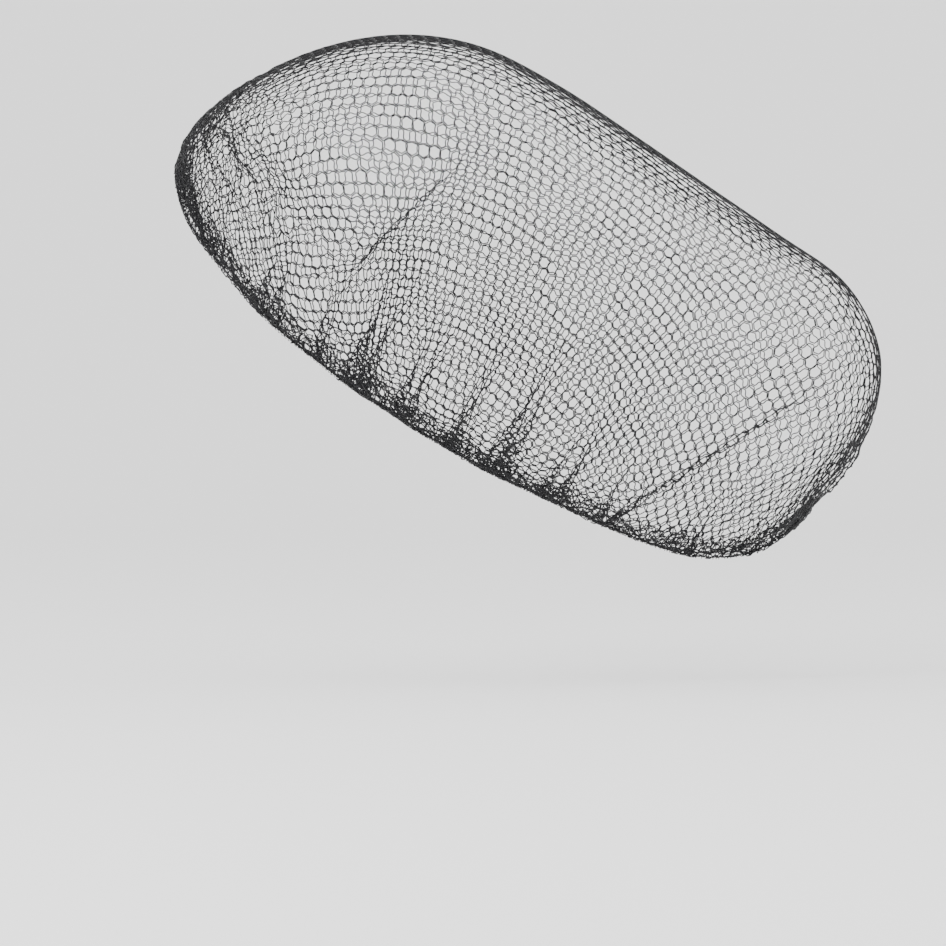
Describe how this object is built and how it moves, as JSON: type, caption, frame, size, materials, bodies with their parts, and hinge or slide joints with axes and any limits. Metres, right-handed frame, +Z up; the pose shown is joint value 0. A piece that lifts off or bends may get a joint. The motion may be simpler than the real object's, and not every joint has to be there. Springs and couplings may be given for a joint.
{
  "type": "hairnet",
  "caption": "Hairnet of open hexagonal netting gathered onto an elastic edge, shaped over a head with a pouch for a low bun.",
  "frame": {"origin": "middle of the head opening, halfway from the front to the back of the elastic edge, on the plane of symmetry", "axes": "+Z up as worn, -Y towards the forehead, +Y towards the bun pouch, +X towards the wearer's left"},
  "size_m": [0.1758, 0.2948, 0.2163],
  "materials": {
    "black_netting": "knitted nylon yarn with a soft sheen",
    "black_elastic": "matte covered elastic"
  },
  "bodies": {
    "root": {"net_cap": "black_netting", "elastic_edge": "black_elastic"}
  },
  "joints": []
}
